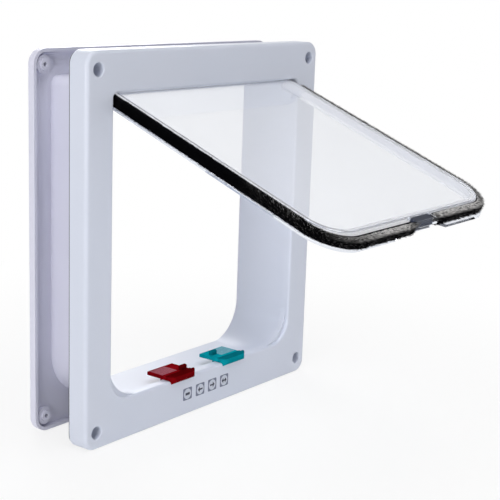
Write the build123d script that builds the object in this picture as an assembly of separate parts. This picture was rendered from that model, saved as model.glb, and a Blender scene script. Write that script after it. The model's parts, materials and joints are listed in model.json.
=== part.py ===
from build123d import *
import os

# Cat flap for a door: an inner frame with a tunnel, an outer frame with a sleeve, and a clear flap
# that swings on two pins and can be locked either way by two slides on the sill.
# Millimetres. X runs across the door, Z is up, and Y runs from the room to the outside.
# The origin is the centre of the four screw holes, on the inner frame's rim, where the door begins.

# Opening of the bezel
opening_width = 189.0
opening_height = 196.0
opening_corner = 17.0
opening_top_corner = 3.0
opening_round = 1.6

# Bezel round the opening
side_rail = 23.0
top_rail = 26.0
bottom_rail = 28.0
bezel_depth = 14.3
bezel_corner = 9.0
bezel_round = 2.5
bezel_wall = 2.4

# Lip behind the opening, which stands proud of the tunnel
lip_depth = 7.0
lip_corner = 25.0
lip_side_step = 1.5
lip_floor_step = 5.5

# Tunnel of the inner frame
tunnel_headroom = 4.0
tunnel_depth = 49.5
tunnel_wall = 1.6
tunnel_corner = 28.0
tunnel_top_corner = 2.5

# Screw tubes of the inner frame
screw_inset_x = 9.9
screw_inset_z = 11.3
screw_hole_d = 4.5
screw_head_d = 8.4
screw_head_depth = 11.0
screw_head_chamfer = 0.5
screw_tube_d = 12.0

# Stiffening ribs in the hollow back of the bezel
rib_thickness = 1.4
rib_back_gap = 4.0
rib_spacing = 62.0

# Foam strip on the rim
seal_width = 1.4
seal_thickness = 1.0
seal_inset = 0.5

# Outer frame
door_thickness = 30.5
outer_step_x = 0.5
outer_step_z = 1.5
outer_depth = 6.2
outer_corner = 10.0
outer_round = 2.0
outer_wall = 2.2
sleeve_length = 23.0
sleeve_wall = 1.6
sleeve_clearance = 0.3
post_d = 11.6
post_step = 1.2
post_tip_d = 7.0
post_hole_d = 2.8
post_hole_depth = 5.0
gusset_size = 3.2
gusset_thickness = 1.4
gusset_spacing_x = 62.0
gusset_spacing_z = 94.0

# Hinge of the flap
hinge_back = 12.6
hinge_drop = 1.05
hinge_bar_d = 7.2
pin_d = 4.0
pin_clearance = 0.3
pin_seat_d = 7.0
pin_seat_depth = 2.4
pin_end_gap = 0.4
open_angle = 68.7

# Clear flap, measured in its closed position
flap_front_gap = 8.3
panel_thickness = 2.4
panel_side_gap = 4.5
panel_lower_gap = 12.1
panel_corner = 22.0
panel_edge = 0.6
channel_width = 5.1
channel_depth = 2.2
channel_wall = 1.6
channel_top = 6.0
rear_lip_thickness = 2.0
rear_lip_reach = 2.5
rear_lip_drop = 7.0
rear_lip_break = 58.0
rear_lip_slant = 40.0

# Pile strips
pile_side_clearance = 0.5
pile_drop = 5.2
pile_play = 0.15
left_pile_end = 13.5
right_pile_end = 16.5

# Magnets
magnet_length = 20.0
magnet_height = 6.0
magnet_thickness = 6.2
magnet_chamfer = 1.4
magnet_play = 0.1
magnet_lift = 0.5
pocket_wall = 1.0
magnet_recess = 0.2
tongue_width = 24.0
tongue_corner = 3.0
sill_magnet_back = 9.0
sill_magnet_width = 6.0
sill_magnet_height = 5.0

# Lock slides on the lip
slide_width = 25.4
slide_depth = 20.7
slide_thickness = 2.3
slide_clearance = 0.3
slide_corner = 5.0
slide_travel = 16.0
slide_middle_gap = 1.2
red_from_stop = 3.6
green_from_stop = 0.0
nose_radius = 3.1
nose_back = 0.3
nose_lift = 0.8
leg_thickness = 1.5
leg_length = 3.6
barb_height = 0.8
barb_reach = 0.8
ridge_back = 4.0
ridge_width = 1.0
ridge_height = 0.5
grip_margin = 2.6
grip_length = 12.6
grip_front = 8.0
grip_recess = 0.4
nub_width = 6.6
nub_depth = 3.0
nub_height = 3.5
nub_inset = 1.9
nub_chamfer = 0.7
nub_clearance = 0.4
tongue_clearance = 0.5

# Places worked out from the sizes above
half_opening = opening_width / 2
frame_width = opening_width + 2 * side_rail
frame_height = opening_height + top_rail + bottom_rail
opening_top = frame_height / 2 - top_rail
sill = opening_top - opening_height
front = -bezel_depth
face_back = front + bezel_wall
lip_back = front + lip_depth
tunnel_half = half_opening + lip_side_step
tunnel_floor = sill - lip_floor_step
tunnel_top = opening_top + tunnel_headroom
tunnel_end = front + tunnel_depth
screw_x = frame_width / 2 - screw_inset_x
screw_z = frame_height / 2 - screw_inset_z
outer_front = seal_thickness + door_thickness
outer_back = outer_front + outer_depth
hinge_y = front + hinge_back
hinge_z = opening_top - hinge_drop
flap_front = front + flap_front_gap
panel_back = flap_front + panel_thickness
channel_back = panel_back + channel_width
rear_lip_back = channel_back + rear_lip_thickness
panel_half = half_opening - panel_side_gap
panel_low = sill + panel_lower_gap
slide_top = sill + slide_clearance + slide_thickness
tongue_low = slide_top + tongue_clearance
channel_start = hinge_z - channel_top


def outline(half_width, low, high, low_corner, high_corner=0.0):
    """A flat shape seen from the front, with rounded lower and upper corners."""
    shape = Pos(0, (low + high) / 2) * Rectangle(2 * half_width, high - low)
    shape = fillet(shape.vertices().group_by(Axis.Y)[0], low_corner)
    if high_corner > 0:
        shape = fillet(shape.vertices().group_by(Axis.Y)[-1], high_corner)
    return shape


def slab(shape, y_front, y_back):
    """A flat shape seen from the front, made solid between two depths."""
    return extrude(Plane.XZ.offset(-y_back) * shape, y_back - y_front)


def block(x0, x1, y0, y1, z0, z1):
    """A rectangular block between two corners."""
    return Pos((x0 + x1) / 2, (y0 + y1) / 2, (z0 + z1) / 2) * Box(x1 - x0, y1 - y0, z1 - z0)


def rod_along_y(x, z, diameter, y_front, y_back):
    """A round rod that runs from front to back."""
    rod = Rot(90, 0, 0) * Cylinder(diameter / 2, y_back - y_front)
    return Pos(x, (y_front + y_back) / 2, z) * rod


def rod_along_x(y, z, diameter, x0, x1):
    """A round rod that runs across the door."""
    rod = Rot(0, 90, 0) * Cylinder(diameter / 2, x1 - x0)
    return Pos((x0 + x1) / 2, y, z) * rod


def tunnel_outline(growth):
    """The tunnel's section, grown outwards by the same amount all round."""
    return outline(
        tunnel_half + growth,
        tunnel_floor - growth,
        tunnel_top + growth,
        tunnel_corner + growth,
        tunnel_top_corner + growth,
    )


def screw_places():
    """The four screw axes."""
    return [(x, z) for x in (-screw_x, screw_x) for z in (-screw_z, screw_z)]


def bezel_shell():
    """The bezel's face and rim, hollow towards the door."""
    half_width = frame_width / 2
    half_height = frame_height / 2
    shell = slab(outline(half_width, -half_height, half_height, bezel_corner, bezel_corner), front, 0)
    shell = fillet(shell.edges().group_by(Axis.Y)[0], bezel_round)
    hollow_corner = bezel_corner - bezel_wall
    hollow = outline(
        half_width - bezel_wall,
        bezel_wall - half_height,
        half_height - bezel_wall,
        hollow_corner,
        hollow_corner,
    )
    return shell - slab(hollow, face_back, 0)


def bezel_ribs():
    """Thin ribs between the tunnel and the rim, in the hollow back of the bezel."""
    rib_end = -rib_back_gap
    half_width = frame_width / 2 - bezel_wall
    half_height = frame_height / 2 - bezel_wall
    tunnel_side = tunnel_half + tunnel_wall
    ribs = []
    for place in (-rib_spacing, 0, rib_spacing):
        low = place - rib_thickness / 2
        high = place + rib_thickness / 2
        ribs.append(block(-half_width, -tunnel_side, face_back, rib_end, low, high))
        ribs.append(block(tunnel_side, half_width, face_back, rib_end, low, high))
        ribs.append(block(low, high, face_back, rib_end, tunnel_top + tunnel_wall, half_height))
    for place in (-rib_spacing, rib_spacing):
        low = place - rib_thickness / 2
        high = place + rib_thickness / 2
        ribs.append(block(low, high, face_back, rib_end, -half_height, tunnel_floor - tunnel_wall))
    return ribs


def sill_magnet_place():
    """The lowest and highest corners of the magnet under the sill."""
    middle = front + sill_magnet_back
    top = tunnel_floor - tunnel_wall
    return (
        (-magnet_length / 2, middle - sill_magnet_width / 2, top - sill_magnet_height),
        (magnet_length / 2, middle + sill_magnet_width / 2, top),
    )


def sill_pocket():
    """Four walls under the tunnel's floor that hold the sill magnet."""
    (x0, y0, z0), (x1, y1, z1) = sill_magnet_place()
    room = magnet_play
    wall = magnet_play + pocket_wall
    outside = block(x0 - wall, x1 + wall, y0 - wall, y1 + wall, z0, z1)
    return outside - block(x0 - room, x1 + room, y0 - room, y1 + room, z0, z1)


def lock_groove(side):
    """The groove in the back of the lip that guides one slide and ends its travel."""
    near = slide_middle_gap / 2 - slide_clearance
    far = near + slide_width + slide_travel + 2 * slide_clearance
    z1 = sill - leg_length + barb_height + slide_clearance
    z0 = sill - leg_length - slide_clearance
    x0, x1 = sorted((side * near, side * far))
    return block(x0, x1, lip_back - barb_reach, lip_back, z0, z1)


def screw_rim_cut():
    """The cone that breaks the front rim of a screw hole."""
    hole_radius = screw_head_d / 2
    cone = Cone(hole_radius, hole_radius + screw_head_chamfer, screw_head_chamfer,
                align=(Align.CENTER, Align.CENTER, Align.MAX))
    return Rot(90, 0, 0) * cone


def inner_frame():
    frame = bezel_shell()
    frame += slab(tunnel_outline(tunnel_wall), face_back, tunnel_end)
    frame -= slab(tunnel_outline(0), face_back, tunnel_end)
    lip_cut = outline(half_opening, sill, frame_height / 2, lip_corner)
    frame += slab(tunnel_outline(0), face_back, lip_back) - slab(lip_cut, face_back, lip_back)
    opening = outline(half_opening, sill, opening_top, opening_corner, opening_top_corner)
    frame -= slab(opening, front, face_back)
    face = frame.faces().sort_by(Axis.Y)[0]
    frame = fillet(face.inner_wires()[0].edges(), opening_round)
    frame += bezel_ribs()
    frame += [rod_along_y(x, z, screw_tube_d, face_back, 0) for x, z in screw_places()]
    head_end = front + screw_head_depth
    frame -= [rod_along_y(x, z, screw_hole_d, front, 0) for x, z in screw_places()]
    frame -= [rod_along_y(x, z, screw_head_d, front, head_end) for x, z in screw_places()]
    frame -= [Pos(x, front, z) * screw_rim_cut() for x, z in screw_places()]
    for side in (-1, 1):
        wall = side * (tunnel_half + tunnel_wall)
        seat_end = wall + side * pin_seat_depth
        x0, x1 = sorted((wall, seat_end))
        frame += rod_along_x(hinge_y, hinge_z, pin_seat_d, x0, x1)
        x0, x1 = sorted((side * (tunnel_half - tunnel_top_corner), seat_end - side * tunnel_wall / 2))
        frame -= rod_along_x(hinge_y, hinge_z, pin_d + 2 * pin_clearance, x0, x1)
        frame -= lock_groove(side)
    return frame + sill_pocket()


def door_seal():
    def ring(inset):
        half_width = frame_width / 2 - inset
        half_height = frame_height / 2 - inset
        corner = bezel_corner - inset
        return outline(half_width, -half_height, half_height, corner, corner)

    return slab(ring(seal_inset) - ring(seal_inset + seal_width), 0, seal_thickness)


def outer_gussets():
    """Small triangles that stiffen the flange's rim, towards the tray."""
    half_width = frame_width / 2 - outer_step_x - outer_wall
    half_height = frame_height / 2 - outer_step_z - outer_wall
    tray = outer_back - outer_wall
    corner = Polygon((0, 0), (gusset_size, 0), (0, gusset_size), align=None)
    gusset = extrude(corner, gusset_thickness / 2, both=True)
    gussets = []
    for place in (-gusset_spacing_z, 0, gusset_spacing_z):
        gussets.append(Plane((half_width, tray, place), x_dir=(-1, 0, 0), z_dir=(0, 0, 1)) * gusset)
        gussets.append(Plane((-half_width, tray, place), x_dir=(0, -1, 0), z_dir=(0, 0, 1)) * gusset)
    for place in (-gusset_spacing_x, 0, gusset_spacing_x):
        gussets.append(Plane((place, tray, half_height), x_dir=(0, -1, 0), z_dir=(1, 0, 0)) * gusset)
        gussets.append(Plane((place, tray, -half_height), x_dir=(0, 0, 1), z_dir=(1, 0, 0)) * gusset)
    return gussets


def outer_frame():
    half_width = frame_width / 2 - outer_step_x
    half_height = frame_height / 2 - outer_step_z
    flange = slab(outline(half_width, -half_height, half_height, outer_corner, outer_corner),
                  outer_front, outer_back)
    flange = fillet(flange.edges().group_by(Axis.Y)[-1], outer_round)
    tray_corner = outer_corner - outer_wall
    tray = outline(half_width - outer_wall, outer_wall - half_height, half_height - outer_wall,
                   tray_corner, tray_corner)
    tray_floor = outer_back - outer_wall
    flange -= slab(tray, outer_front, tray_floor)
    sleeve_inside = tunnel_wall + sleeve_clearance
    sleeve_outside = sleeve_inside + sleeve_wall
    frame = flange + slab(tunnel_outline(sleeve_outside), outer_back - sleeve_length, tray_floor)
    frame -= slab(tunnel_outline(sleeve_inside), outer_back - sleeve_length, outer_back)
    frame += outer_gussets()
    post_front = outer_front + post_step
    frame += [rod_along_y(x, z, post_d, post_front, tray_floor) for x, z in screw_places()]
    frame += [rod_along_y(x, z, post_tip_d, outer_front, tray_floor) for x, z in screw_places()]
    hole_end = outer_front + post_hole_depth
    return frame - [rod_along_y(x, z, post_hole_d, outer_front, hole_end) for x, z in screw_places()]


def swing(piece):
    """Turns a piece of the closed flap out to its open rest."""
    return Pos(0, hinge_y, hinge_z) * Rot(-open_angle, 0, 0) * Pos(0, -hinge_y, -hinge_z) * piece


def flap_outline(growth, drop, top):
    """The flap's outline, grown sideways and downwards from the panel's edge."""
    corner = panel_corner + growth
    return outline(panel_half + growth, panel_low - drop, top, corner)


def magnet_place():
    """The lowest and highest corners of the magnet in the closed flap."""
    low = slide_top + nub_height + magnet_lift
    face = flap_front + magnet_recess
    return (
        (-magnet_length / 2, face, low),
        (magnet_length / 2, face + magnet_thickness, low + magnet_height),
    )


def with_magnet_pocket(panel):
    """Adds a pocket behind the tongue and cuts the magnet's seat into it from the front."""
    (x0, y0, z0), (x1, y1, z1) = magnet_place()
    room = magnet_play
    wall = magnet_play + pocket_wall
    panel += block(x0 - wall, x1 + wall, panel_back, y1 + wall, z0, z1)
    return panel - block(x0 - room, x1 + room, flap_front, y1 + room, z0 - room, z1 + room)


def flap_panel():
    panel = slab(flap_outline(0, 0, hinge_z), flap_front, panel_back)
    tongue = outline(tongue_width / 2, tongue_low, panel_low + panel_corner, tongue_corner)
    panel += slab(tongue, flap_front, panel_back)
    panel = chamfer(panel.edges().group_by(Axis.Y)[0], panel_edge)
    wall_out = flap_outline(-channel_depth, -channel_depth, channel_start)
    wall_depth = channel_depth + channel_wall
    wall_in = flap_outline(-wall_depth, -wall_depth, channel_start)
    panel += slab(wall_out - wall_in, panel_back, channel_back)
    rear_lip = flap_outline(rear_lip_reach, rear_lip_drop, channel_start) - wall_in
    lip_break = Trapezoid(rear_lip_break, rear_lip_drop + channel_depth, 90 - rear_lip_slant,
                          align=(Align.CENTER, Align.MIN))
    lip_break = Pos(0, panel_low - rear_lip_drop) * lip_break
    panel += slab(rear_lip - lip_break, channel_back, rear_lip_back)
    bar_half = panel_half - channel_depth
    panel += rod_along_x(hinge_y, hinge_z, hinge_bar_d, -bar_half, bar_half)
    pin_half = tunnel_half + tunnel_wall / 2 + pin_seat_depth - pin_end_gap
    panel += rod_along_x(hinge_y, hinge_z, pin_d, -pin_half, pin_half)
    return swing(with_magnet_pocket(panel))


def pile_seal(side, end):
    """One length of pile, from the hinge down the side and along the bottom to the magnet."""
    reach = panel_side_gap - pile_side_clearance
    outside = flap_outline(reach, pile_drop, channel_start)
    seat = channel_depth - pile_play
    inside = flap_outline(-seat, -seat, channel_start)
    strip = slab(outside - inside, panel_back + pile_play, channel_back - pile_play)
    x0, x1 = sorted((side * end, side * frame_width))
    return swing(strip & block(x0, x1, panel_back, channel_back, -frame_height, frame_height))


def flap_magnet():
    (x0, y0, z0), (x1, y1, z1) = magnet_place()
    magnet = block(x0, x1, y0, y1, z0, z1)
    return swing(chamfer(magnet.edges().filter_by(Axis.Y), magnet_chamfer))


def sill_magnet():
    (x0, y0, z0), (x1, y1, z1) = sill_magnet_place()
    return block(x0, x1, y0, y1, z0, z1)


def slide_section():
    """The slide's section, which hooks over the lip from the face to behind it."""
    under = sill + slide_clearance
    plate = Pos(front, under) * Rectangle(slide_depth, slide_thickness, align=(Align.MIN, Align.MIN))
    nose = Pos(front + nose_back, under + nose_lift) * Circle(nose_radius)
    leg_front = lip_back + slide_clearance
    leg = Pos(leg_front, sill - leg_length) * Rectangle(leg_thickness, leg_length + slide_thickness,
                                                        align=(Align.MIN, Align.MIN))
    barb = Pos(leg_front, sill - leg_length) * Rectangle(barb_reach, barb_height,
                                                         align=(Align.MAX, Align.MIN))
    ridge = Pos(front + ridge_back, slide_top) * Rectangle(ridge_width, 2 * ridge_height)
    bite = Pos(front - slide_clearance, under) * Rectangle(lip_depth + 2 * slide_clearance, bottom_rail,
                                                           align=(Align.MIN, Align.MAX))
    bite_corner = bite.vertices().group_by(Axis.Y)[-1].sort_by(Axis.X)[0]
    bite = fillet(bite_corner, opening_round + slide_clearance)
    return plate + nose + leg + ridge - bite + barb


def lock_slide(side, from_stop, nub_front):
    """One slide. Its nub is at the end towards the middle, at its own depth."""
    inner = slide_middle_gap / 2 + slide_travel - from_stop
    outer = inner + slide_width
    x0, x1 = sorted((side * inner, side * outer))
    slide = extrude(Plane.YZ.offset(x0) * slide_section(), x1 - x0)
    nose_front = front + nose_back - nose_radius
    plan = Pos((x0 + x1) / 2, nose_front) * Rectangle(slide_width, slide_depth + front - nose_front,
                                                      align=(Align.CENTER, Align.MIN))
    plan = fillet(plan.vertices().group_by(Axis.Y)[0], slide_corner)
    slide = slide & extrude(plan, frame_height, both=True)
    g0, g1 = sorted((side * (outer - grip_margin), side * (outer - grip_margin - grip_length)))
    grip_back = front + slide_depth - grip_margin
    slide -= block(g0, g1, front + grip_front, grip_back, slide_top - grip_recess, slide_top)
    n0, n1 = sorted((side * (inner + nub_inset), side * (inner + nub_inset + nub_width)))
    nub = block(n0, n1, nub_front, nub_front + nub_depth, slide_top, slide_top + nub_height)
    return slide + chamfer(nub.edges().group_by(Axis.Z)[-1] + nub.edges().filter_by(Axis.Z), nub_chamfer)


red_nub_front = flap_front - nub_clearance - nub_depth
green_nub_front = panel_back + nub_clearance

pieces = {
    "inner_frame": inner_frame(),
    "outer_frame": outer_frame(),
    "door_seal": door_seal(),
    "flap_panel": flap_panel(),
    "left_pile_seal": pile_seal(-1, left_pile_end),
    "right_pile_seal": pile_seal(1, right_pile_end),
    "flap_magnet": flap_magnet(),
    "sill_magnet": sill_magnet(),
    "red_lock_slide": lock_slide(-1, red_from_stop, red_nub_front),
    "green_lock_slide": lock_slide(1, green_from_stop, green_nub_front),
}

os.makedirs("parts", exist_ok=True)
for name, piece in pieces.items():
    export_step(piece, f"parts/{name}.step")
    box = piece.bounding_box()
    print(f"{name}: {len(piece.solids())} solid, {piece.volume / 1000:.1f} cm3, {box.size}")
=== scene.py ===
# %% [markdown]
# # A cat flap between its two door frames
# The real thing is a white bezel with a tunnel, an outer frame whose sleeve slides onto that tunnel, a
# clear flap on two pins with black pile round its edge, and a red and a green lock slide on the sill.
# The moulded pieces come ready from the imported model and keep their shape. Here they get their finishes,
# and the pile, the grips of the slides, the printed signs and the glued magnet are added to them.

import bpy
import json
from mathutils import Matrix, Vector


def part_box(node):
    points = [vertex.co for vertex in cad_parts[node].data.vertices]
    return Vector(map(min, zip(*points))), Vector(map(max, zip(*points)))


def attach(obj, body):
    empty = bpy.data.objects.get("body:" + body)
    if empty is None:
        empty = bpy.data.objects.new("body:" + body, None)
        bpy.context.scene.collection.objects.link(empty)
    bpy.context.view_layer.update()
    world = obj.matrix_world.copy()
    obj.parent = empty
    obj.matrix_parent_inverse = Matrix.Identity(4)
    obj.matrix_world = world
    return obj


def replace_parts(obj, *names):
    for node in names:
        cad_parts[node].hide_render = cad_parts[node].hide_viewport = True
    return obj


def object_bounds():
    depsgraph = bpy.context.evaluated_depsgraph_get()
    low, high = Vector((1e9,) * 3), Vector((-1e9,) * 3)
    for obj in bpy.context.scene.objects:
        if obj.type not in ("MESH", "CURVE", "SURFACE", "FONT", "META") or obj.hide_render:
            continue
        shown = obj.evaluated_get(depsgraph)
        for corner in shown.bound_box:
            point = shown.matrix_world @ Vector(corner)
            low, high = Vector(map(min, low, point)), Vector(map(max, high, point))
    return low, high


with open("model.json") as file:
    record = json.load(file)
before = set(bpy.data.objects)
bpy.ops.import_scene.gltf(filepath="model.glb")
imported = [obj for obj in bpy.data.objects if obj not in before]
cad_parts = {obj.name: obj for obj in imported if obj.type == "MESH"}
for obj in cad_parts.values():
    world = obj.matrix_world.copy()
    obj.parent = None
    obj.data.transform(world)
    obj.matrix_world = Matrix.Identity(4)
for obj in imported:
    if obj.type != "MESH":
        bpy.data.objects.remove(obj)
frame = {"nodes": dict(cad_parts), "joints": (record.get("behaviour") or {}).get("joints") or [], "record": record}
cad_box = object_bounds()
print("nodes:", ", ".join(sorted(frame["nodes"])))

# %% [markdown]
# ## Shader maths as plain expressions
# A finish is a network of shader nodes. Wiring each Math node by hand hides the formula, so a small class
# wraps an output socket and lets the plain operators add those nodes: `0.3 + 0.1 * grain` reads as what it
# does. The reflected forms are there so that a plain number may stand on either side.

# %% A socket that takes part in sums
import bpy


def connect(slot, value):
    """Feeds an input socket from a wire, or sets it to a plain value."""
    if isinstance(value, Wire):
        slot.id_data.links.new(value.socket, slot)
    else:
        slot.default_value = value


class Wire:
    """An output socket. A sum or product with it adds a Math node to its tree."""

    def __init__(self, socket):
        self.socket = socket

    def maths(self, operation, first, second):
        made = self.socket.id_data.nodes.new("ShaderNodeMath")
        made.operation = operation
        connect(made.inputs[0], first)
        connect(made.inputs[1], second)
        return Wire(made.outputs[0])

    def __add__(self, other):
        return self.maths("ADD", self, other)

    def __radd__(self, other):
        return self.maths("ADD", other, self)

    def __sub__(self, other):
        return self.maths("SUBTRACT", self, other)

    def __rsub__(self, other):
        return self.maths("SUBTRACT", other, self)

    def __mul__(self, other):
        return self.maths("MULTIPLY", self, other)

    def __rmul__(self, other):
        return self.maths("MULTIPLY", other, self)

    def __gt__(self, other):
        return self.maths("GREATER_THAN", self, other)


# %% [markdown]
# ## One way to add every other node
# All other nodes come from one method: it takes the node's type, its settings, which are set first because
# some of them change the sockets, and then what goes into the sockets. A few short methods on top of it
# name what a plastics maker would ask for: a place on the piece, an even grain, a mix of two colours.

# %% A node tree with named helpers
class Finish:
    """The node tree of a material or of the world."""

    def __init__(self, owner):
        self.owner = owner
        owner.use_nodes = True
        self.tree = owner.node_tree
        self.tree.nodes.clear()

    def node(self, kind, settings=None, sockets=None, output=0):
        made = self.tree.nodes.new("ShaderNode" + kind)
        for name, value in (settings or {}).items():
            setattr(made, name, value)
        for name, value in (sockets or {}).items():
            connect(made.inputs[name], value)
        return Wire(made.outputs[output]) if made.outputs else made

    def place(self):
        return self.node("TexCoord", output="Object")

    def measure(self, place, axis):
        return self.node("SeparateXYZ", {}, {0: place}, axis)

    def grain(self, place, per_metre, detail=2.0):
        return self.node("TexNoise", {}, {"Vector": place, "Scale": per_metre, "Detail": detail})

    def mix(self, share, first, second):
        """A mix of two colours. A Mix node has sockets for each kind of data: 6, 7 and 2 are for colour."""
        return self.node("Mix", {"data_type": "RGBA"}, {0: share, 6: first, 7: second}, 2)

    def bump(self, height, depth, strength):
        return self.node("Bump", {}, {"Height": height, "Distance": depth, "Strength": strength})

    def show(self, shader, kind="OutputMaterial"):
        self.node(kind, {}, {"Surface": shader})
        return self.owner


def new_finish(name):
    return Finish(bpy.data.materials.new(name))


# %% [markdown]
# ## White moulded plastic
# Both frames are moulded in a cool white with a satin surface. The outer frame gets a slightly pinker copy of it,
# a painted tint for the purple cast that its tray takes on in shade.
# A clean moulding is even but never perfect: the melt leaves broad, faint differences in shade and gloss,
# and the polished tool leaves a fine grain. One flat colour would miss both. Two noises do this, a broad
# one for shade and gloss and a fine one, under a millimetre, for the bump.

# %% White plastic
mm = 0.001


def white_plastic(name, shade, light):
    finish = new_finish(name)
    place = finish.place()
    cloud = finish.grain(place, per_metre=14.0)
    texture = finish.grain(place, per_metre=1500.0, detail=3.0)
    shader = finish.node("BsdfPrincipled", {}, {
        "Base Color": finish.mix(cloud, shade, light),
        "Roughness": 0.30 + 0.12 * cloud,
        "IOR": 1.5,
        "Normal": finish.bump(texture, depth=0.12 * mm, strength=0.12),
    })
    return finish.show(shader)


cool_white = white_plastic("white_plastic", (0.64, 0.68, 0.785, 1), (0.68, 0.71, 0.805, 1))
# the outer frame's copy is pinker: a painted tint for the purple cast of its shaded tray
shade_tinted_white = white_plastic("shade_tinted_white_plastic", (0.675, 0.68, 0.80, 1), (0.715, 0.71, 0.82, 1))
print("made", cool_white.name, "and", shade_tinted_white.name)

# %% [markdown]
# ## Where the clear lip begins
# Beyond the pile's edge the flap's moulding goes on as a thin lip and the magnet's pocket, and there its
# finish will differ. The lip is part of the same mesh, so the finish has to find it by place. A point of
# the open flap is measured across and down from the hinge, and one formula, the distance from a rectangle
# grown by a radius, tells whether it lies beyond the round-cornered edge.

# %% A mask for the lip
import math

joints = {joint["name"]: joint for joint in frame["joints"]}
hinge_x, hinge_y, hinge_z = joints["flap_hinge"]["pos_m"]
open_angle = math.radians(68.7)
edge_half = 90.0 * mm
edge_low = 182.85 * mm
edge_corner = 22.0 * mm


def beyond_edge(finish, place):
    """One where a point of the open flap lies beyond the round-cornered edge that the pile follows."""
    x, y, z = (finish.measure(place, axis) for axis in "XYZ")
    down = (hinge_y - y) * math.sin(open_angle) + (hinge_z - z) * math.cos(open_angle)
    spot = finish.node("CombineXYZ", {}, {0: x, 1: down, 2: 0.0})
    folded = finish.node("VectorMath", {"operation": "ABSOLUTE"}, {0: spot})
    corner = (edge_half - edge_corner, edge_low - edge_corner, 0)
    past = finish.node("VectorMath", {"operation": "SUBTRACT"}, {0: folded, 1: corner})
    outside = finish.node("VectorMath", {"operation": "MAXIMUM"}, {0: past, 1: (0, 0, 0)})
    distance = finish.node("VectorMath", {"operation": "LENGTH"}, {0: outside}, "Value")
    return distance > edge_corner


print(f"the edge is {edge_low / mm:.1f} mm below the hinge")

# %% [markdown]
# ## Clear moulded plastic
# The flap is clear acrylic. Glass shaders stop the rays that look for a lamp, so a clear flap would throw
# a dark shadow. For those rays alone, a Transparent shader takes over, and the lamps reach what is behind.
# A very soft wave in the surface keeps the reflections from being those of a perfect mirror. Real acrylic
# pipes light along its lip, and few light paths find their way out of it again, so there the plastic bends
# light less and is tinted instead. The panel itself is not quite clear. What is behind it looks paler, as
# through a veil, so about a fifth of each face is a plain white that scatters light.

# %% Clear plastic
veil_share = 0.22
panel_bending, lip_bending = 1.45, 1.06


def clear_plastic():
    finish = new_finish("clear_plastic")
    place = finish.place()
    haze = finish.grain(place, per_metre=160.0)
    wave = finish.grain(place, per_metre=22.0, detail=1.0)

    def clear(bending, deep, pale):
        return finish.node("BsdfPrincipled", {}, {
            "Base Color": finish.mix(haze, deep, pale),
            "Roughness": 0.01 + 0.03 * haze,
            "IOR": bending,
            "Transmission Weight": 1.0,
            "Normal": finish.bump(wave, depth=0.4 * mm, strength=0.06),
        })

    veil = finish.node("BsdfPrincipled", {}, {
        "Base Color": finish.mix(haze, (0.89, 0.905, 0.95, 1), (0.92, 0.935, 0.98, 1)),
        "Roughness": 0.6 + 0.2 * haze,
        "Specular IOR Level": 0.0,
    })
    sheer = clear(panel_bending, (0.945, 0.955, 0.98, 1), (0.965, 0.975, 0.99, 1))
    panel = finish.node("MixShader", {}, {0: veil_share, 1: sheer, 2: veil})
    lip = clear(lip_bending, (0.84, 0.87, 0.93, 1), (0.88, 0.90, 0.95, 1))
    moulding = finish.node("MixShader", {}, {0: beyond_edge(finish, place), 1: panel, 2: lip})
    through = finish.node("BsdfTransparent", {}, {"Color": (0.93, 0.935, 0.95, 1)})
    lamp_ray = finish.node("LightPath", output="Is Shadow Ray")
    return finish.show(finish.node("MixShader", {}, {0: lamp_ray, 1: moulding, 2: through}))


clear_flap = clear_plastic()
print("made", clear_flap.name)

# %% [markdown]
# ## Tinted plastic of the two slides
# The slides are a deep red and a deep teal, and the plastic lets a little light through: over the white
# sill the thin plate looks brighter than the thick nose in front and the nub on top. A real glow inside the
# plastic would cost many light paths, so two masks, from the place on the slide, darken nose and nub
# instead. Strong colours look washed out as soon as they mirror a white room, so their specular level is 0.

# %% Tinted plastic
nose_depth = 6.5 * mm
nub_height = 3.5 * mm
nub_from_top = 0.9 * nub_height
least_glow = 0.35
nose_shade, nub_shade = 0.5, 0.9


def tinted_plastic(name, deep, bright, box):
    finish = new_finish(name)
    place = finish.place()
    low, high = box
    nose = low.y + nose_depth - finish.measure(place, "Y") > 0
    nub = finish.measure(place, "Z") > high.z - nub_from_top
    streak = finish.grain(place, per_metre=130.0)
    scuff = finish.grain(place, per_metre=2600.0, detail=3.0)
    plate_glow = least_glow + (1 - least_glow) * streak
    glow = plate_glow * (1 - nose_shade * nose) * (1 - nub_shade * nub)
    shader = finish.node("BsdfPrincipled", {}, {
        "Base Color": finish.mix(glow, deep, bright),
        "Roughness": 0.22 + 0.10 * scuff,
        "Specular IOR Level": 0.0,
        "Normal": finish.bump(scuff, depth=0.05 * mm, strength=0.15),
    })
    return finish.show(shader)


deep_red, bright_red = (0.085, 0.001, 0.002, 1), (0.30, 0.004, 0.008, 1)
deep_teal, bright_teal = (0.002, 0.145, 0.185, 1), (0.004, 0.42, 0.50, 1)
red_tint = tinted_plastic("red_plastic", deep_red, bright_red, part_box("red_lock_slide"))
teal_tint = tinted_plastic("green_plastic", deep_teal, bright_teal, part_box("green_lock_slide"))
print("made", red_tint.name, "and", teal_tint.name)

# %% [markdown]
# ## Black pile and its tape
# The pile's fibres are black. On top of the flap's lower edge, which brushes over the sill, they are painted a
# paler grey, a painted sheen for the light that the tops of the fibres catch. A noise would spot every fibre
# alike. So each fibre carries two numbers for its finish to read: how pale it is, and how far along it a point
# lies, and the painted sheen grows towards the tip. The fibres stand on a pale woven tape, and a fine checker is
# weave enough at that size.

# %% Pile and tape
def black_pile():
    finish = new_finish("black_pile")
    pale = finish.node("Attribute", {"attribute_name": "pale"}, output="Fac")
    along = finish.node("Attribute", {"attribute_name": "along"}, output="Fac")
    # painted sheen: pale times along mixes the black fibres towards a near-white grey
    shader = finish.node("BsdfPrincipled", {}, {
        "Base Color": finish.mix(pale * along, (0.002, 0.002, 0.003, 1), (0.98, 0.96, 0.95, 1)),
        "Roughness": 0.7,
        "Specular IOR Level": 0.04,
    })
    return finish.show(shader)


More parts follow.
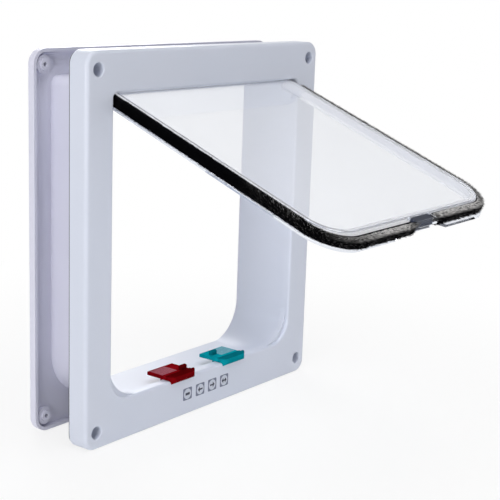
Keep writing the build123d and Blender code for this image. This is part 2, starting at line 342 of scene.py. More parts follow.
def woven_tape():
    finish = new_finish("woven_tape")
    weave = finish.node("TexChecker", {}, {"Vector": finish.place(), "Scale": 2400.0}, "Fac")
    shader = finish.node("BsdfPrincipled", {}, {
        "Base Color": finish.mix(weave, (0.5, 0.5, 0.53, 1), (0.92, 0.92, 0.94, 1)),
        "Roughness": 0.7,
        "Normal": finish.bump(weave, depth=0.1 * mm, strength=0.4),
    })
    return finish.show(shader)


pile_finish, tape_finish = black_pile(), woven_tape()
print("made", pile_finish.name, "and", tape_finish.name)

# %% [markdown]
# ## Black foam and dark magnets
# The foam strip behind the bezel is full of small round cells. A plain noise would look like rubber, so a
# texture that is itself made of cells dents it. The magnets are ferrite, ground dull, and there an uneven
# grain is right.

# %% Foam and magnet
def black_foam():
    finish = new_finish("black_foam")
    cells = finish.node("TexVoronoi", {}, {"Vector": finish.place(), "Scale": 2200.0})
    shader = finish.node("BsdfPrincipled", {}, {
        "Base Color": finish.mix(cells, (0.012, 0.012, 0.015, 1), (0.045, 0.045, 0.05, 1)),
        "Roughness": 0.85,
        "Normal": finish.bump(cells, depth=0.3 * mm, strength=0.5),
    })
    return finish.show(shader)


def dark_magnet():
    finish = new_finish("dark_magnet")
    ground = finish.grain(finish.place(), per_metre=900.0, detail=4.0)
    shader = finish.node("BsdfPrincipled", {}, {
        "Base Color": finish.mix(ground, (0.008, 0.011, 0.022, 1), (0.045, 0.055, 0.085, 1)),
        "Roughness": 0.4 + 0.2 * ground,
        "Specular IOR Level": 0.3,
        "Normal": finish.bump(ground, depth=0.1 * mm, strength=0.3),
    })
    return finish.show(shader)


foam_finish, magnet_finish = black_foam(), dark_magnet()
print("made", foam_finish.name, "and", magnet_finish.name)

# %% [markdown]
# ## Dress the moulded pieces
# Each imported piece keeps its mesh and gets the finish of the record's slot that it belongs to. Naming the
# finishes after the slots lets one loop dress them all. The outer frame then gets the pinker copy of the white,
# with its painted tint of shade.

# %% Give the imported pieces their finishes
finishes = {
    "white_plastic": cool_white,
    "clear_plastic": clear_flap,
    "black_pile": pile_finish,
    "black_foam": foam_finish,
    "dark_magnet": magnet_finish,
    "red_plastic": red_tint,
    "green_plastic": teal_tint,
}
for subpart in frame["record"]["subparts"]:
    node = frame["nodes"][subpart["node"]]
    node.data.materials.clear()
    node.data.materials.append(finishes[subpart["material_slot"]])
    print(node.name, "wears", subpart["material_slot"])
# the pinker copy, with its painted tint of shade, goes on the outer frame
frame["nodes"]["outer_frame"].data.materials[0] = shade_tinted_white

# %% [markdown]
# ## Measures on the flap
# The flap hangs open, so nothing on it lies along the axes. Points on it are easier to give as a maker
# measures them on the bench: across the flap, down from the hinge, and out of its front face. One function
# turns such measures into the part's own frame, and it takes a whole array of points at once.

# %% From the flap's measures to the part's frame
import numpy as np


def from_flap(across, down, out):
    """Points in the part's frame, from measures on the flap."""
    y = hinge_y - down * math.sin(open_angle) - out * math.cos(open_angle)
    z = hinge_z - down * math.cos(open_angle) + out * math.sin(open_angle)
    return np.stack((hinge_x + across + 0 * y, y, z), axis=-1)


print("the middle of the flap's lower edge is at", from_flap(0, edge_low, 0).round(4))

# %% [markdown]
# ## The line that the pile follows
# The pile runs in a channel along the flap's edge: down one side, round the corner, and along the bottom
# to the magnet. A straight run, a quarter of a circle and another straight run make one formula: the turn
# grows from zero to a right angle over the corner. The same formula serves again for the outline of the
# brush.

# %% The edge of the clear panel
strip_top = 6.0 * mm
strip_ends = {"left": 13.5 * mm, "right": 16.5 * mm}
side_run = edge_low - edge_corner - strip_top


def round_corner(run, first_run, corner):
    """How far along and inwards a line with one round corner is after each run, and its turn there."""
    turn = np.clip((run - first_run) / corner, 0, math.pi / 2)
    past_corner = np.maximum(run - first_run - corner * math.pi / 2, 0)
    along = np.minimum(run, first_run) + corner * np.sin(turn)
    inwards = corner * (1 - np.cos(turn)) + past_corner
    return along, inwards, turn


def edge_at(run):
    """Across and down to the edge after each run along it, and the way that the edge faces there."""
    along, inwards, turn = round_corner(run, side_run, edge_corner)
    return edge_half - inwards, strip_top + along, np.cos(turn), np.sin(turn)


def strip_length(hand):
    return side_run + edge_corner * math.pi / 2 + edge_half - edge_corner - strip_ends[hand]


for hand in strip_ends:
    print(f"the {hand} strip of pile is {strip_length(hand) / mm:.0f} mm long")

# %% [markdown]
# ## Meshes from arrays
# A piece made from arrays needs the same few lines each time: a mesh, its finish, an object in the scene,
# and the body that carries it. Its faces are turned to look outwards, because a mirrored piece has them
# the other way round. The pile's backing, the signs and the magnet are rings of points that follow each
# other, with a face at each end, so their faces come from one function too.

# %% A piece from points and faces
import bmesh


def mesh_piece(name, points, faces, slot, body, finish=None):
    mesh = bpy.data.meshes.new(name)
    mesh.from_pydata(np.asarray(points).tolist(), [], faces)
    shape = bmesh.new()
    shape.from_mesh(mesh)
    bmesh.ops.recalc_face_normals(shape, faces=shape.faces)
    shape.to_mesh(mesh)
    shape.free()
    mesh.materials.append(finish or finishes[slot])
    piece = bpy.data.objects.new(name, mesh)
    bpy.context.scene.collection.objects.link(piece)
    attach(piece, body)
    print(name, len(mesh.polygons), "faces")
    return piece


def ring_faces(size, rings, first=0):
    """The faces between rings of points that follow each other, and then the two end faces."""
    last = first + size * (rings - 1)
    faces = []
    for start in range(first, last, size):
        for spot in range(size):
            here, after = start + spot, start + (spot + 1) % size
            faces.append([here, here + size, after + size, after])
    faces.append(list(range(first, first + size)))
    faces.append(list(range(last + size - 1, last - 1, -1)))
    return faces


# %% [markdown]
# ## The outline of the brush
# Squeezed together in the channel, the fibres spread as soon as they leave their tape, so their tips lie
# on a round-cornered outline: up the outer face of the brush and back over its top. A share from 0 to 1
# runs along that outline. Each fibre bends once on its way from the tape to its tip, and up to that bend
# the brush is so dense that no light gets through it. Along the bottom of the flap the tape itself stands
# out of the channel, the left strip's more than the right one's.

# %% Tips, roots and bends
channel_middle = -0.65 * mm
channel_half = 2.3 * mm
mouth = 0.15 * mm
tape_steps = {"left": 4.4 * mm, "right": 0.8 * mm}
tape_lift = 1.4 * mm
side_reach = 4.2 * mm
bottom_reaches = {"left": 4.3 * mm, "right": 5.5 * mm}
side_highs = {"left": 4.2 * mm, "right": 4.9 * mm}
bottom_high = 3.6 * mm
brush_low = -3.0 * mm
brush_corner = 1.0 * mm
brush_overhang = 0.2 * mm
bend_share = 0.6
least_bend = 0.5 * mm
low_lift, more_lift = 0.35, 0.33


def between(at_side, at_bottom, face_down):
    """A measure that changes from the flap's sides to its bottom edge."""
    return at_side + (at_bottom - at_side) * face_down


def tips_at(hand, share, face_down):
    """How far beyond the tape and out of the flap the tips lie, and the outline's turn there."""
    reach = between(side_reach, bottom_reaches[hand], face_down)
    rise = between(side_highs[hand], bottom_high, face_down) - brush_low - brush_corner
    whole = rise + brush_corner * math.pi / 2 + reach - brush_corner + brush_overhang
    along, inwards, turn = round_corner(share * whole, rise, brush_corner)
    return reach - inwards, brush_low + along, turn


def roots_at(share, face_down):
    """How far out of the flap the fibres leave the tape."""
    return channel_middle + channel_half * (2 * share - 1) + tape_lift * face_down * share


def bends_at(share, face_down, tip_beyond, tip_out):
    """Where the fibres bend, beyond the tape and out of the flap."""
    lifted = low_lift + more_lift * share
    root_out = roots_at(share, face_down)
    beyond = np.maximum(mouth + bend_share * (tip_beyond - mouth), least_bend)
    return beyond, root_out + lifted * (tip_out - root_out)


print("the fibres stand out", side_reach, "m at the sides and at the bottom", bottom_reaches)

# %% [markdown]
# ## Painted sheen on the pile
# The strip on the flap's left side stays black. Along the bottom, from left to right, the top of the brush is
# painted paler and paler, a painted sheen for the light that the fibres catch there. Up the right side there is
# only a little of it. Painting this on by hand would be lost with each new mesh, so a formula of the place says
# how much painted sheen there is.

# %% How much painted sheen the brush has
# where the painted sheen is left out, how it rises along the bottom, where it lessens up the right side, and where
# it starts on the outline
no_sheen_half = 86.0 * mm
sheen_ramp_over = 42.0 * mm
less_sheen_from, less_sheen_over, less_sheen_share = 72.0 * mm, 16.0 * mm, 0.75
sheen_start, sheen_fade = 0.44, 0.16


def painted_sheen_at(share, across):
    """How much painted sheen the pile has, from 0 to 1, for a share of the outline and a place across the flap."""
    sheen_ramp = np.clip((across + no_sheen_half) / sheen_ramp_over, 0, 1)
    less_sheen = less_sheen_share * np.clip((across - less_sheen_from) / less_sheen_over, 0, 1)
    return sheen_ramp * (1 - less_sheen) * np.clip((share - sheen_start) / sheen_fade, 0, 1)


for place_across in (-edge_half, 0, edge_half):
    print(f"dust {place_across / mm:.0f} mm across: {painted_sheen_at(1, place_across):.2f}")

# %% [markdown]
# ## The backing of the pile
# Pile is woven into a tape, which sits in the channel. A plain dark bead on the pale tape stands for the
# dense part of the brush, so that far fewer fibres are needed. It is a section swept along the edge: the
# tape, whose front steps up where it leaves the channel, and a hump that ends where the fibres bend.

# %% The section of the backing
tape_low = -2.0 * mm
tape_dark = 1.5 * mm
step_start, step_end, step_flat = 0.02 * mm, 0.1 * mm, 0.15 * mm
step_depth = 0.6 * mm
front_points, hump_points, back_points = 5, 9, 3


def backing_section(hand, face_down):
    """The outline of tape and hump, beyond the panel's edge and out of the flap."""
    share = np.linspace(1, 0, hump_points)
    tip_beyond, tip_out, _ = tips_at(hand, share, face_down)
    hump_beyond, hump_out = bends_at(share, face_down, tip_beyond, tip_out)
    step = tape_steps[hand] * face_down
    sunk = step_depth * (1 - face_down)
    inner, outer = max(step - tape_dark, step_flat - sunk), mouth + step
    front, raised, back = roots_at(1, 0), roots_at(1, face_down), roots_at(0, 0)
    front_beyond = [tape_low, step_start - sunk, step_end - sunk, inner, outer]
    beyond = np.concatenate((front_beyond, hump_beyond + step, [outer, inner, tape_low]))
    out = np.concatenate(([front, front, raised, raised, raised], hump_out, [back, back, back]))
    return beyond, out


print("the section has", front_points + hump_points + back_points, "points")

# %% Sweep the backing along the edge
backing_steps = 150
woven_front = 3
# how much of the painted sheen the hump of the backing carries
hump_sheen = 0.8


def add_numbers(piece, name, values):
    """Gives each point of a mesh a number that its finish can read."""
    numbers = piece.data.attributes.new(name, "FLOAT", "POINT")
    numbers.data.foreach_set("value", values.astype(np.float32))


def pile_backing(hand, side, body):
    hump = np.linspace(1, 0, hump_points)
    share = np.concatenate((np.zeros(front_points), hump, np.zeros(back_points)))
    points, pale = [], []
    for run in np.linspace(0, strip_length(hand), backing_steps):
        across, down, face_across, face_down = edge_at(run)
        # the hump gets the same painted sheen as the tops of the fibres
        pale.append(hump_sheen * painted_sheen_at(share, side * across))
        beyond, out = backing_section(hand, face_down)
        edge_across, edge_down = across + beyond * face_across, down + beyond * face_down
        points.append(from_flap(side * edge_across, edge_down, out))
    size = len(share)
    faces = ring_faces(size, backing_steps)
    piece = mesh_piece(hand + "_pile_backing", np.concatenate(points), faces, "black_pile", body)
    piece.data.materials.append(tape_finish)
    woven = [spot < woven_front or spot > size - back_points for spot in range(size)]
    end_faces = [False, False]
    piece.data.polygons.foreach_set("material_index", woven * (backing_steps - 1) + end_faces)
    add_numbers(piece, "pale", np.concatenate(pale))
    add_numbers(piece, "along", np.ones(size * backing_steps))


# %% [markdown]
# ## Where the fibres stand
# The look of pile is its fringe: thousands of fine hairs, in small tufts that lean a little, some longer
# than others. A hair system would not leave with the mesh, so each fibre is a real, three-sided, tapered
# spike with one bend. All fibres are made at once as arrays, from a seeded generator, so that each run
# gives the same brush. First, each fibre gets its place along the strip and round the outline.

# %% Scatter the fibres
fibre_count = 21000
tuft_length = 0.9 * mm
tuft_layers = 14
top_turn = 0.4 * math.pi


class Brush:
    """The fibres of one strip: where each stands, and the tuft that it belongs to."""

    def __init__(self, hand, side, random):
        length = strip_length(hand)
        self.hand, self.side, self.random = hand, side, random
        self.run = random.uniform(0, length, fibre_count)
        self.share = random.uniform(0, 1, fibre_count)
        layer = (self.share * tuft_layers).astype(int)
        self.tuft = (self.run / tuft_length).astype(int) * tuft_layers + layer
        self.still_to_run = length - self.run
        self.across, self.down, self.face_across, self.face_down = edge_at(self.run)
        self.beyond, self.out, turn = tips_at(hand, self.share, self.face_down)
        self.on_top = np.clip(turn / top_turn, 0, 1)

    def for_tufts(self, draw, first, second):
        """One draw for each tuft, handed on to all its fibres."""
        return draw(first, second, self.tuft.max() + 1)[self.tuft]

    def points(self, reach, shift, height):
        """Points beyond the panel's edge, shifted along it and out of the flap, in the part's frame."""
        across = self.across + reach * self.face_across + shift * self.face_down
        down = self.down + reach * self.face_down - shift * self.face_across
        return from_flap(self.side * across, down, height)


print(fibre_count, "fibres to a strip, in tufts", tuft_length, "m long")

# %% [markdown]
# ## How the fibres lean and grow
# At the loose end of the left strip nothing holds the fibres, and they lean over onto the magnet. The rest
# only sway, tuft by tuft and hair by hair. A tuft is never cut quite level, and a few strays stick out.

# %% Lean and growth
tuft_sway, fibre_sway = 0.4 * mm, 0.2 * mm
lean_length = 7.0 * mm
top_leans = {"left": 7.5 * mm, "right": 0.4 * mm}
side_lean = 0.8 * mm
full_growth = 1.04
tuft_uneven, fibre_uneven = 0.06, 0.05
stray_power = 3
stray_growth, stray_growth_below = 0.18, 0.05


def leans(brush):
    """How far each tip leans along the strip. Below zero is towards the strip's end."""
    loose = np.clip(1 - brush.still_to_run / lean_length, 0, 1)
    end_lean = loose * (side_lean + (top_leans[brush.hand] - side_lean) * brush.on_top)
    sway = brush.for_tufts(brush.random.normal, 0, tuft_sway)
    return sway + brush.random.normal(0, fibre_sway, fibre_count) - end_lean


def growths(brush):
    """How long each fibre has grown, as a share of the way to the outline."""
    growth = full_growth - abs(brush.for_tufts(brush.random.normal, 0, tuft_uneven))
    growth -= abs(brush.random.normal(0, fibre_uneven, fibre_count))
    stray = brush.random.uniform(0, 1, fibre_count) ** stray_power
    return growth + stray * (stray_growth + stray_growth_below * brush.face_down)


print(f"the longest strays grow to {full_growth + stray_growth + stray_growth_below:.2f} of the outline")

# %% [markdown]
# ## The line of each fibre
# Root, bend and tip make a fibre's line. Real pile is trimmed so that the flap swings freely, and so it is
# here: no tip lies beyond a furthest and a highest measure. By the hinge both are small, since the flap
# passes close to the corners of the opening there.

# %% Draw the fibres
tuft_rise = 0.2 * mm
bend_lean = 0.3
furthest_side, furthest_below = 4.5 * mm, 9.4 * mm
hinge_room = 18.0 * mm
furthest_by_hinge, highest_by_hinge = 3.2 * mm, 2.8 * mm


def fibre_lines(brush):
    """The root, the bend and the tip of each fibre."""
    share, face_down = brush.share, brush.face_down
    lean = leans(brush)
    growth = growths(brush)
    rise = brush.for_tufts(brush.random.normal, 0, tuft_rise)
    step = tape_steps[brush.hand] * face_down
    by_hinge = brush.down < hinge_room
    trimmed_beyond = between(furthest_side, furthest_below, face_down) - step
    trimmed_out = between(side_highs[brush.hand], bottom_high, face_down)
    furthest = np.where(by_hinge, furthest_by_hinge, trimmed_beyond)
    highest = np.where(by_hinge, highest_by_hinge, trimmed_out)
    tip_beyond = np.minimum(brush.beyond * growth, furthest)
    tip_out = np.clip(brush.out + rise, brush_low, highest)
    bend_beyond, bend_out = bends_at(share, face_down, tip_beyond, tip_out)
    root = brush.points(step + mouth, 0, roots_at(share, face_down))
    bend = brush.points(step + bend_beyond, bend_lean * lean, bend_out)
    tip = brush.points(step + tip_beyond, lean, tip_out)
    return root, bend, tip


print("tips are trimmed", furthest_side, "m beyond the edge at the sides and", furthest_below, "m below")

# %% [markdown]
# ## How pale each fibre is
# The painted sheen is not even: some tufts stay dark, others are paler than their neighbours, and single pale
# specks, painted glints, are caught where the brush is still black. At the cut end of a strip the painted sheen
# fades. Each of these is one more random draw on top of the sheen formula.

# %% Painted sheen on each fibre
# painted glints, tufts left dark, and the fading of the painted sheen at the cut end
speck_share, speck_sheen = 0.14, 0.7
side_specks = 0.3
speck_from, speck_over = 115.0 * mm, 40.0 * mm
sheenless_share, sheenless_keeps = 0.18, 0.12
tuft_pale_least, tuft_pale_most = 0.4, 1.4
fibre_pale_least = 0.85
cut_end, cut_end_sheen = 6.0 * mm, 0.3


def fibre_paleness(brush):
    """How pale each fibre is, from 0 to 1: its painted sheen."""
    random = brush.random
    speck = random.uniform(0, 1, fibre_count) < speck_share
    speck = speck * (side_specks + (1 - side_specks) * brush.on_top)
    speck = speck_sheen * speck * np.clip((brush.down - speck_from) / speck_over, 0, 1)
    # the painted sheen, raised to a painted glint where a speck falls
    sheen = np.maximum(painted_sheen_at(brush.share, brush.side * brush.across), speck)
    sheenless = brush.for_tufts(random.uniform, 0, 1) < sheenless_share
    pale = sheen * brush.for_tufts(random.uniform, tuft_pale_least, tuft_pale_most)
    pale *= random.uniform(fibre_pale_least, 1.0, fibre_count)
    pale *= np.where(sheenless, sheenless_keeps, 1) * np.clip(brush.still_to_run / cut_end, cut_end_sheen, 1)
    return np.minimum(pale, 1)


print(f"{speck_share:.0%} of the fibres carry a speck, and {sheenless_share:.0%} of the tufts stay clean")

# %% [markdown]
# ## From lines to spikes
# Each fibre becomes seven points: a ring of three at the root, another at the bend, and the tip. The map
# named OFBake lays every fibre on a picture by its two numbers, pale across and along upwards, so that a
# baked picture of the pile holds its colours exactly, however many fibres share a spot.

# %% Rings round the lines, and the map
no_fibre_way = (1.0, 0.3, 0.2)
ring = 3
ring_wide, tip_wide = [0, 0.5, 1], 0.5
spike_width = 0.03


def rings_round(start, end, radius):
    """Three points round each start, square to the way to its end."""
    way = end - start
    way /= np.linalg.norm(way, axis=1, keepdims=True)
    first = np.cross(way, no_fibre_way)
    first /= np.linalg.norm(first, axis=1, keepdims=True)
    second = np.cross(way, first)
    turns = [2 * math.pi * spot / ring for spot in range(ring)]
    return [start + radius * (math.cos(turn) * first + math.sin(turn) * second) for turn in turns]


def lay_on_picture(piece, paleness, heights):
    """The map OFBake: pale across, along upwards, and each spike a little wide."""
    spots = np.array([loop.vertex_index for loop in piece.data.loops])
    wide = np.tile(ring_wide * 2 + [tip_wide], fibre_count)[spots]
    across = paleness[spots] * (1 - spike_width) + wide * spike_width
    places = np.stack((across, heights[spots]), axis=1)
    picture = piece.data.uv_layers.new(name="OFBake")
    picture.data.foreach_set("uv", places.ravel().astype(np.float32))


# %% Build the spikes
fibre_radius = 0.12 * mm
root_along, bend_along, tip_along = 0.1, 0.9, 1.0


def spike_faces(corners):
    """Three sides from root to bend and three from bend to tip, for each fibre."""
    first = np.arange(fibre_count)[:, None, None] * corners
    nexts = [(k, (k + 1) % ring) for k in range(ring)]
    sides = first + np.array([[here, after, ring + after, ring + here] for here, after in nexts])
    ends = first + np.array([[ring + here, ring + after, 2 * ring] for here, after in nexts])
    return sides.reshape(-1, 4).tolist() + ends.reshape(-1, 3).tolist()


def pile_fibres(hand, side, body, seed):
    brush = Brush(hand, side, np.random.default_rng(seed))
    root, bend, tip = fibre_lines(brush)
    pale = fibre_paleness(brush)
    corners = rings_round(root, bend, fibre_radius) + rings_round(bend, tip, fibre_radius) + [tip]
    points = np.stack(corners, axis=1).reshape(-1, 3)
    piece = mesh_piece(hand + "_pile", points, spike_faces(len(corners)), "black_pile", body)
    piece.data.shade_smooth()
    heights = np.tile([root_along] * ring + [bend_along] * ring + [tip_along], fibre_count)
    paleness = np.repeat(pale, len(corners))
    add_numbers(piece, "pale", paleness)
    add_numbers(piece, "along", heights)
    lay_on_picture(piece, paleness, heights)
    return piece


# %% Lay both strips
for hand, side, seed in (("left", -1, 11), ("right", 1, 12)):
    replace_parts(pile_fibres(hand, side, "flap", seed), hand + "_pile_seal")
    pile_backing(hand, side, "flap")

# %% [markdown]
# ## Grips of the slides
# A thumb moves each slide, so its top has a field of small points. A bump in the finish would look flat
# from the side, so they are real pyramids on a closed pad, in rows well under a millimetre apart. The
# pad's place comes from the slide's own box: it lies on the plate, over the shallow recess there, from the
# slide's outer end to its nub.

# %% Pyramids on a pad
grip_pitch = 0.72 * mm
pad_height = 0.1 * mm
point_height = 0.32 * mm


def pyramid_pad(left, right, front, back, under):
    """Points and faces of a closed pad with a pyramid on each cell."""
    columns = round((right - left) / grip_pitch)
    rows = round((back - front) / grip_pitch)
    xs = np.linspace(left, right, columns + 1)
    ys = np.linspace(front, back, rows + 1)
    points = [(x, y, under + pad_height) for y in ys for x in xs]
    faces = []
    for row in range(rows):
        for column in range(columns):
            corner = row * (columns + 1) + column
            corners = [corner, corner + 1, corner + columns + 2, corner + columns + 1]
            faces += [[corners[k], corners[(k + 1) % 4], len(points)] for k in range(4)]
            middle_x, middle_y = (xs[column] + xs[column + 1]) / 2, (ys[row] + ys[row + 1]) / 2
            points.append((middle_x, middle_y, under + point_height))
    base = len(points)
    points += [(left, front, under), (right, front, under), (right, back, under), (left, back, under)]
    last_row = rows * (columns + 1)
    faces.append([base + 3, base + 2, base + 1, base])
    faces.append([base, base + 1] + [k for k in range(columns, -1, -1)])
    faces.append([base + 1, base + 2] + [(k + 1) * (columns + 1) - 1 for k in range(rows, -1, -1)])
    faces.append([base + 2, base + 3] + [last_row + k for k in range(columns + 1)])
    faces.append([base + 3, base] + [k * (columns + 1) for k in range(rows + 1)])
    return points, faces


# %% The finish of the grips
def scuffed_grip(name, deep, pale):
    finish = new_finish(name)
    scuff = finish.grain(finish.place(), per_metre=700.0, detail=4.0)
    shader = finish.node("BsdfPrincipled", {}, {
        "Base Color": finish.mix(scuff, deep, pale),
        "Roughness": 0.5 + 0.2 * scuff,
        "Specular IOR Level": 0.0,
    })
    return finish.show(shader)


grip_finishes = {
    "red": scuffed_grip("red_grip", (0.20, 0.03, 0.04, 1), (0.62, 0.22, 0.27, 1)),
    "green": scuffed_grip("green_grip", (0.08, 0.28, 0.35, 1), (0.34, 0.60, 0.68, 1)),
}
print("made", ", ".join(made.name for made in grip_finishes.values()))

# %% Set a grip on each slide
grip_margin = 1.1 * mm
grip_length = 15.0 * mm
grip_depth = 11.8 * mm

for colour, outer_side in (("red", -1), ("green", 1)):
    low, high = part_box(colour + "_lock_slide")
    outer_end = low.x if outer_side < 0 else high.x
    far_from_end = outer_end - outer_side * (grip_margin + grip_length)
    left, right = sorted((outer_end - outer_side * grip_margin, far_from_end))
    back = high.y - grip_margin
    pad = pyramid_pad(left, right, back - grip_depth, back, high.z - nub_height)
    mesh_piece(colour + "_grip", *pad, colour + "_plastic", colour + "_slide", grip_finishes[colour])

# %% [markdown]
# ## The four printed signs
# Below the slides, four small signs show the four ways to set them. They are prints, so they are thin
# layers of ink: a grey-blue tile, a pale disc and a dark mark. The marks are plain ones: a bar for shut, an
# arrow for each way, and a double arrow for both. A picture on the bezel would need an image file, so each
# layer is an outline given a little thickness.

# %% Inks
def ink(name, thin, full):
    finish = new_finish(name)
    speckle = finish.grain(finish.place(), per_metre=1800.0, detail=3.0)
    shader = finish.node("BsdfPrincipled", {}, {
        "Base Color": finish.mix(speckle, thin, full),
        "Roughness": 0.42 + 0.15 * speckle,
    })
    return finish.show(shader)


inks = [
    ink("tile_ink", (0.20, 0.22, 0.31, 1), (0.13, 0.15, 0.22, 1)),
    ink("disc_ink", (0.52, 0.55, 0.64, 1), (0.62, 0.65, 0.73, 1)),
    ink("mark_ink", (0.05, 0.055, 0.09, 1), (0.03, 0.03, 0.06, 1)),
]
print("made", ", ".join(made.name for made in inks))

# %% Outlines
corner_points = 5
disc_points = 36


def rounded_square(half_width, half_height, corner, steps=corner_points):
    outline = []
    for quarter, (to_right, upwards) in enumerate(((1, 1), (-1, 1), (-1, -1), (1, -1))):
        for turn in np.linspace(quarter, quarter + 1, steps) * math.pi / 2:
            x = to_right * (half_width - corner) + corner * math.cos(turn)
            z = upwards * (half_height - corner) + corner * math.sin(turn)
            outline.append((x, z))
    return outline


def disc(radius):
    turns = np.linspace(0, 2 * math.pi, disc_points + 1)[:-1]
    return [(radius * math.cos(turn), radius * math.sin(turn)) for turn in turns]


def arrow_head(length, shaft, head):
    """The right end of an arrow, from below its shaft to above it."""
    end, neck = length / 2, length / 2 - head
    return [(neck, -shaft / 2), (neck, -head), (end, 0), (neck, head), (neck, shaft / 2)]


def arrow(length, shaft, head, way):
    """An arrow that points along X, to the right for way 1 and to the left for way -1."""
    tail = [(-length / 2, shaft / 2), (-length / 2, -shaft / 2)]
    right = tail[1:] + arrow_head(length, shaft, head) + tail[:1]
    return [(way * x, z) for x, z in right][::way]


def double_arrow(length, shaft, head):
    half = arrow_head(length, shaft, head)
    return half + [(-x, -z) for x, z in half]


# %% Print the signs
bezel_face = -14.3 * mm
sign_level = -110.0 * mm
sign_places = [-20.0 * mm, -6.6 * mm, 6.5 * mm, 19.7 * mm]
ink_layer = 0.06 * mm
tile_half_width, tile_half_height, tile_corner = 4.6 * mm, 4.3 * mm, 0.9 * mm
disc_radius = 3.7 * mm
bar_half_width, bar_half_height, bar_corner = 2.2 * mm, 0.9 * mm, 0.3 * mm
mark_shaft = 1.1 * mm
arrow_length, arrow_barb = 5.0 * mm, 2.0 * mm
double_length, double_barb = 5.6 * mm, 1.9 * mm
tile = rounded_square(tile_half_width, tile_half_height, tile_corner)
marks = [
    rounded_square(bar_half_width, bar_half_height, bar_corner),
    arrow(arrow_length, mark_shaft, arrow_barb, -1),
    arrow(arrow_length, mark_shaft, arrow_barb, 1),
    double_arrow(double_length, mark_shaft, double_barb),
]


def printed_sign(name, middle, mark):
    points, faces, inked = [], [], []
    for level, outline in enumerate((tile, disc(disc_radius), mark)):
        layer_faces = ring_faces(len(outline), 2, len(points))
        faces += layer_faces
        inked += [level] * len(layer_faces)
        for y in (bezel_face - (level + 1) * ink_layer, bezel_face - level * ink_layer):
            points += [(middle + x, y, sign_level + z) for x, z in outline]
    sign = mesh_piece(name, points, faces, "white_plastic", "frame", inks[0])
    for extra in inks[1:]:
        sign.data.materials.append(extra)
    sign.data.polygons.foreach_set("material_index", inked)


for number, (middle, mark) in enumerate(zip(sign_places, marks), start=1):
    printed_sign(f"lock_sign_{number}", middle, mark)

# %% [markdown]
# ## The magnet in its pocket
# The flap's magnet is glued into a pocket of the clear plastic. The glue matters to the eye: across a gap
# of air the clear walls would mirror the white room and hide the magnet. So the magnet is made again with
# its film of glue, a hair larger than its seat, and then it shows dark through every wall. Only the top of
# the pocket stays clear. The magnet's front rim is bevelled.

# %% Make the glued magnet
magnet_half = 10.0 * mm
magnet_high, magnet_low = 183.5 * mm, 188.35 * mm
magnet_front, magnet_back = 4.1 * mm, -2.1 * mm
magnet_corner = 1.4 * mm
magnet_rim = 0.25 * mm
glue = 0.14 * mm


def glued_magnet(name, body):
    rim_start, rim_growth = magnet_front - magnet_rim, glue - magnet_rim
    levels = [(magnet_back - glue, glue), (rim_start, glue), (magnet_front, rim_growth)]
    points = []
    for out, growth in levels:
        half_height = (magnet_low - magnet_high) / 2 + growth
        corners = rounded_square(magnet_half + growth, half_height, magnet_corner, steps=2)
        outline = np.array(corners)
        points.append(from_flap(outline[:, 0], (magnet_low + magnet_high) / 2 + outline[:, 1], out))
    faces = ring_faces(len(corners), len(levels))
    return mesh_piece(name, np.concatenate(points), faces, "dark_magnet", body)


magnet = glued_magnet("glued_magnet", "flap")
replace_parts(magnet, "flap_magnet")

# %% [markdown]
# ## The white room
# The part stands in a white room. What the camera sees directly or through the clear flap is plain white,
# of strength 1. Reflections see the same white walls, but a dimmer ceiling, as in a studio: this is what
# keeps the clear flap and the strong colours from turning milky. All other rays meet a sky that is dimmer
# still, which is the soft light of the room. More light would whiten the background too, but also the part.

# %% White room
def ray_kinds(finish):
    """One for rays that see the room directly or through the flap, and one for rays that mirror it."""
    camera = finish.node("LightPath", output="Is Camera Ray")
    glossy = finish.node("LightPath", output="Is Glossy Ray")
    through = finish.node("LightPath", output="Is Transmission Ray")
    first_look = 1 - (finish.node("LightPath", output="Diffuse Depth") > 0)
    direct = (camera + through > 0) * first_look
    mirrored = glossy * (1 - through) * first_look
    return direct, mirrored


room_light = 0.3
ceiling_light = 0.5
wall_end, ceiling_start = 0.05, 0.5
world = bpy.data.worlds.new("white_room")
bpy.context.scene.world = world
room = Finish(world)
direct, mirrored = ray_kinds(room)
upwards = room.measure(room.node("TexCoord", output="Generated"), "Z")
wall_to_ceiling = room.node("MapRange", {"interpolation_type": "SMOOTHSTEP"}, {
    "Value": upwards, "From Min": wall_end, "From Max": ceiling_start,
    "To Min": 1.0, "To Max": ceiling_light})
strength = room_light + (1 - room_light) * direct + (wall_to_ceiling - room_light) * mirrored
sky = room.node("Background", {}, {"Color": (1, 1, 1, 1), "Strength": strength})
room.show(sky, "OutputWorld")
print("room light", room_light, "ceiling", ceiling_light)

# %% [markdown]
# ## The floor
# The part stands on a pale floor that runs into the white of the room without an edge. A floor that only
# glows white would lose the part's shadow, so near the part a share of real shading is mixed in, which
# fades out with distance. Light that bounces about meets a plain pale floor.

# %% Floor
floor_level = cad_box[0].z
floor_half = 6.0
shadow_share = 0.2
shadow_start, shadow_reach = 0.15, 0.45


def pale_floor():
    finish = new_finish("pale_floor")
    far = finish.node("VectorMath", {"operation": "LENGTH"}, {0: finish.place()}, "Value")
    near = finish.node("MapRange", {"interpolation_type": "SMOOTHSTEP"}, {
        "Value": far, "From Min": shadow_start, "From Max": shadow_reach,
        "To Min": shadow_share, "To Max": 0.0})
    direct, mirrored = ray_kinds(finish)
    look = direct + mirrored
    shaded = finish.node("BsdfDiffuse", {}, {"Color": (0.93, 0.935, 0.94, 1)})
    white = finish.node("Emission", {}, {"Color": (1, 1, 1, 1), "Strength": 1.0})
    share = near * look + (1 - look)
    return finish.show(finish.node("MixShader", {}, {0: share, 1: white, 2: shaded}))


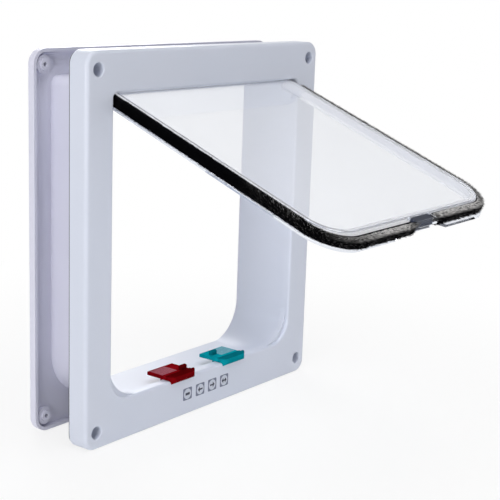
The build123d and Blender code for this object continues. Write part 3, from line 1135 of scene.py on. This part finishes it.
floor_corners = [(x * floor_half, y * floor_half, 0) for x, y in ((-1, -1), (1, -1), (1, 1), (-1, 1))]
floor_mesh = bpy.data.meshes.new("floor")
floor_mesh.from_pydata(floor_corners, [], [(0, 1, 2, 3)])
floor_mesh.materials.append(pale_floor())
floor = bpy.data.objects.new("floor", floor_mesh)
floor.location.z = floor_level
bpy.context.scene.collection.objects.link(floor)
print(f"floor at {floor_level:.4f} m")

# %% [markdown]
# ## Lamps
# A product studio uses large soft lamps. A wide one overhead lights what faces up, one from the left
# lights the side of the bezel, and a weak one low in front lifts its face. One behind and to the right
# shines through the opening, so that the sill is the brightest of all. Round area lamps do this best:
# the larger they are, the softer the shadow.

# %% Soft lamps
from mathutils import Matrix, Vector

part_middle = (cad_box[0] + cad_box[1]) / 2


def soft_lamp(name, place, size, watts):
    lamp = bpy.data.lights.new(name, "AREA")
    lamp.shape = "DISK"
    lamp.size = size
    lamp.energy = watts
    holder = bpy.data.objects.new(name, lamp)
    holder.location = place
    holder.rotation_euler = (part_middle - Vector(place)).to_track_quat("-Z", "Y").to_euler()
    bpy.context.scene.collection.objects.link(holder)
    print(name, watts, "W")


soft_lamp("overhead_lamp", place=(-0.15, -0.25, 1.15), size=0.9, watts=6.5)
soft_lamp("left_lamp", place=(-1.2, -0.3, 0.12), size=0.6, watts=6.0)
soft_lamp("low_front_lamp", place=(-0.1, -1.2, -0.05), size=0.5, watts=2.0)
soft_lamp("rear_lamp", place=(0.7, 1.1, 0.5), size=0.8, watts=8.1)

# %% [markdown]
# ## Camera
# The camera looks down a little on the part from its front left, with a long lens and a slight roll. Its
# direction comes from two turns, and the image's right and up from the cross product of level and forward.
# Three angles in a row would do as well, but these say what a photographer sets.

# %% Set the camera
look_at = Vector((44.94, -14.3, -19.3)) * mm
camera_distance = 873.58 * mm
heading, tilt, roll = (math.radians(angle) for angle in (52.61, 12.67, 1.95))
level_share = math.cos(tilt)
forward = Vector((math.sin(heading) * level_share, math.cos(heading) * level_share, -math.sin(tilt)))
level_right = Vector((math.cos(heading), -math.sin(heading), 0))
level_up = level_right.cross(forward)
image_right = math.cos(roll) * level_right + math.sin(roll) * level_up
image_up = math.cos(roll) * level_up - math.sin(roll) * level_right
lens = bpy.data.cameras.new("camera")
lens.sensor_width = 36.0
lens.lens = 88.66
camera = bpy.data.objects.new("camera", lens)
turned = Matrix((image_right, image_up, -forward)).transposed().to_4x4()
camera.matrix_world = Matrix.Translation(look_at - camera_distance * forward) @ turned
bpy.context.scene.collection.objects.link(camera)
bpy.context.scene.camera = camera
bpy.context.scene.view_settings.view_transform = "Standard"
print("camera at", [round(value, 4) for value in camera.location])

# %% [markdown]
# ## The end
# The finished part has to stay within the imported model's box, apart from the little that the pile stands
# proud. The last cell only imports json.

# %% The end
import json
